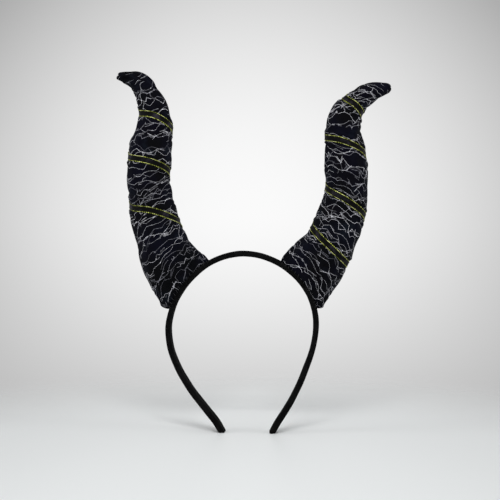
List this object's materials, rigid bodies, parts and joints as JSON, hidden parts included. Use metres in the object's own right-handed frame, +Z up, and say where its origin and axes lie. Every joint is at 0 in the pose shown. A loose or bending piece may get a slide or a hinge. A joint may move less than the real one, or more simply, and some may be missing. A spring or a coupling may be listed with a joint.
{
  "type": "devil horns headband",
  "caption": "Slim cloth-covered headband with stuffed, curved cloth horns sewn on it, each wound with a narrow ribbon.",
  "frame": {"origin": "on the floor under the middle of the overall width, midway between front and back", "axes": "+Z up, +X to the viewer's right when the front is seen, +Y to the back"},
  "size_m": [0.225, 0.0381, 0.2999],
  "materials": {
    "band_cloth": "matt black velvet over a stiff strip",
    "horn_cloth": "black cotton printed with thin broken silver-grey lines, stuffed",
    "ribbon": "black satin with a yellow-green metallic thread along each edge"
  },
  "bodies": {
    "root": {"headband": "band_cloth", "horn_left": "horn_cloth", "horn_right": "horn_cloth", "ribbon_left": "ribbon", "ribbon_right": "ribbon"}
  },
  "joints": []
}
